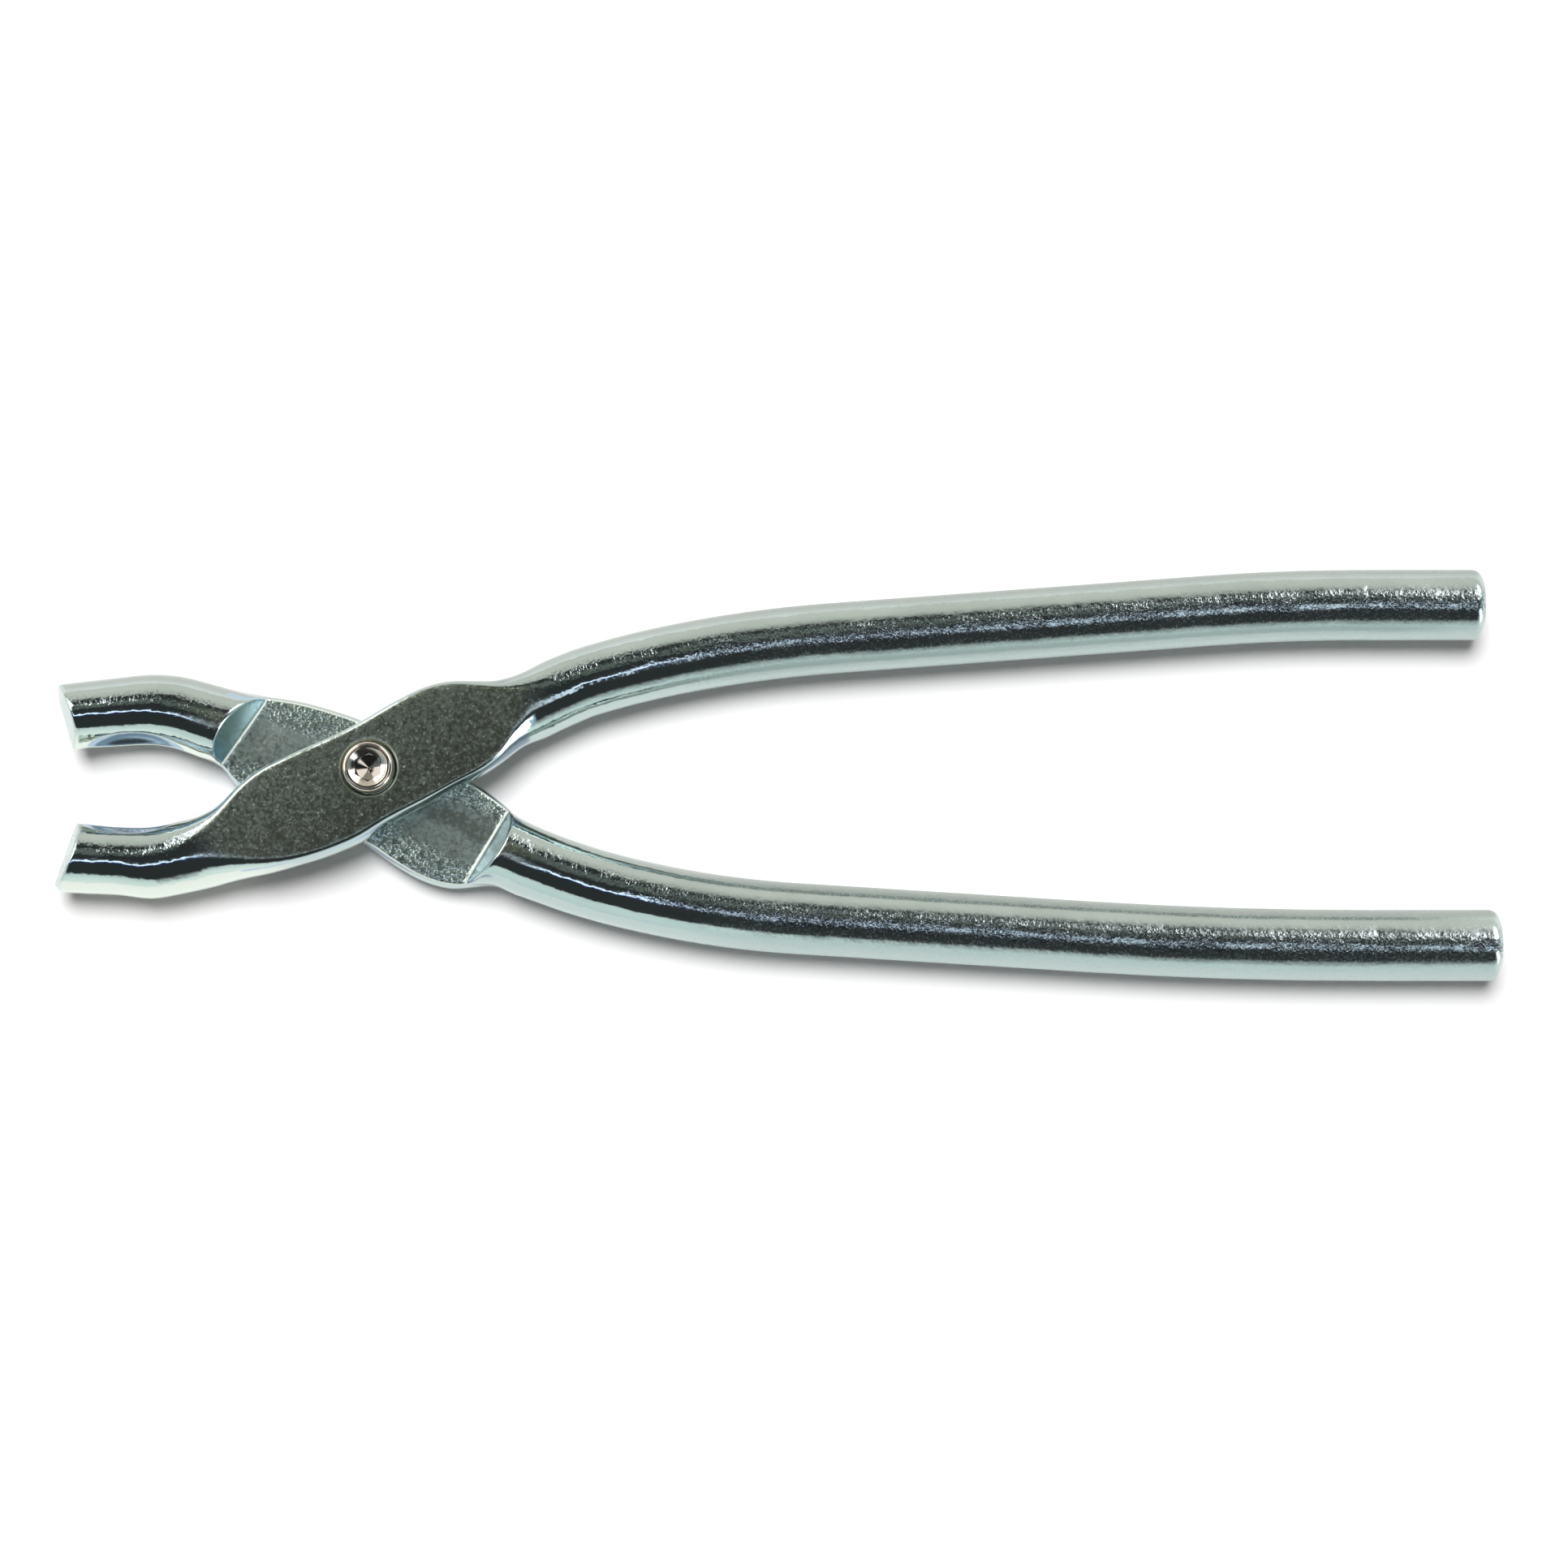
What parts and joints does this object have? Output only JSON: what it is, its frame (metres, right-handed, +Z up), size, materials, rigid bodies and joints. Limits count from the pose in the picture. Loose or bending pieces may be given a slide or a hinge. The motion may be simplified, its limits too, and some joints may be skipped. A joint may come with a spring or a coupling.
{
  "type": "hog ring pliers",
  "caption": "Long straight-nosed hog ring pliers: two plated round-bar levers, half-lapped over one hex-socket pivot screw, with ring grooves inside the jaws.",
  "frame": {"origin": "on the pivot axis, in the plane of the pliers' back, at the screw's flush end", "axes": "+X along the handles, +Y across them towards the front lever's handle, +Z up to the screw's head"},
  "size_m": [0.2836, 0.0815, 0.0166],
  "materials": {
    "front_lever_plating": "bright plating over forged steel, slightly orange-peeled",
    "rear_lever_plating": "bright plating over forged steel, slightly orange-peeled",
    "screw_steel": "nickel-plated, with a fine turned grain",
    "nut_steel": "zinc-plated"
  },
  "bodies": {
    "rear_half": {"rear_lever": "rear_lever_plating", "pivot_screw": "screw_steel", "lock_nut": "nut_steel"},
    "front_half": {"front_lever": "front_lever_plating"}
  },
  "joints": [
    {"name": "pivot", "type": "hinge", "parent": "rear_half", "child": "front_half", "pos_m": [0, 0, 0.007], "axis": [0, 0, 1], "range_deg": [-13.5, 80]}
  ]
}
